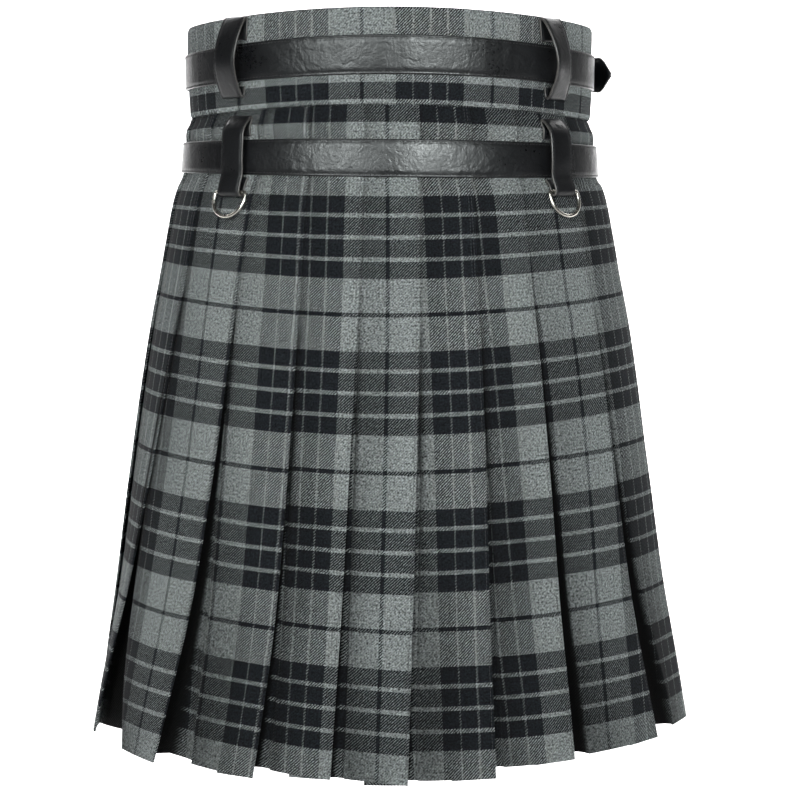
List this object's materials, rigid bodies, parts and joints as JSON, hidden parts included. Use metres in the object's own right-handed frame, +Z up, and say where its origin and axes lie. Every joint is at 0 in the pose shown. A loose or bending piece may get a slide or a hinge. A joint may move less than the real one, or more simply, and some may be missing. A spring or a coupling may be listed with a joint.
{
  "type": "utility kilt",
  "caption": "Tartan utility kilt filled out as worn: knife-pleated back, flat overlapping aprons, black leather straps with buckles, belt loops and hanging D-rings.",
  "frame": {"origin": "centre of the waist opening, level with the top edge at the back", "axes": "+Z up out of the waist, +Y towards the wearer's front, +X towards the wearer's right"},
  "size_m": [0.5068, 0.4037, 0.6113],
  "materials": {
    "tartan": "grey and black woven tartan, matt",
    "leather": "black finished leather, satin",
    "nickel": "polished nickel plate"
  },
  "bodies": {
    "kilt": {"waistband": "tartan", "pleated_skirt": "tartan", "over_apron": "tartan", "under_apron": "tartan", "strap_upper": "leather", "buckle_upper": "nickel", "prong_upper": "nickel", "strap_lower": "leather", "buckle_lower": "nickel", "prong_lower": "nickel", "belt_loop_left": "leather", "belt_loop_right": "leather", "ring_loop_left": "leather", "ring_loop_right": "leather"},
    "ring_left": {"ring_left": "nickel"},
    "ring_right": {"ring_right": "nickel"}
  },
  "joints": [
    {"name": "ring_left_swing", "type": "hinge", "parent": "kilt", "child": "ring_left", "pos_m": [-0.12885, -0.09514, -0.1473], "axis": [-0.8217, 0.5698, 0], "range_deg": [0, 100]},
    {"name": "ring_right_swing", "type": "hinge", "parent": "kilt", "child": "ring_right", "pos_m": [0.14111, -0.08562, -0.14687], "axis": [-0.7642, -0.6449, 0], "range_deg": [0, 100]}
  ]
}
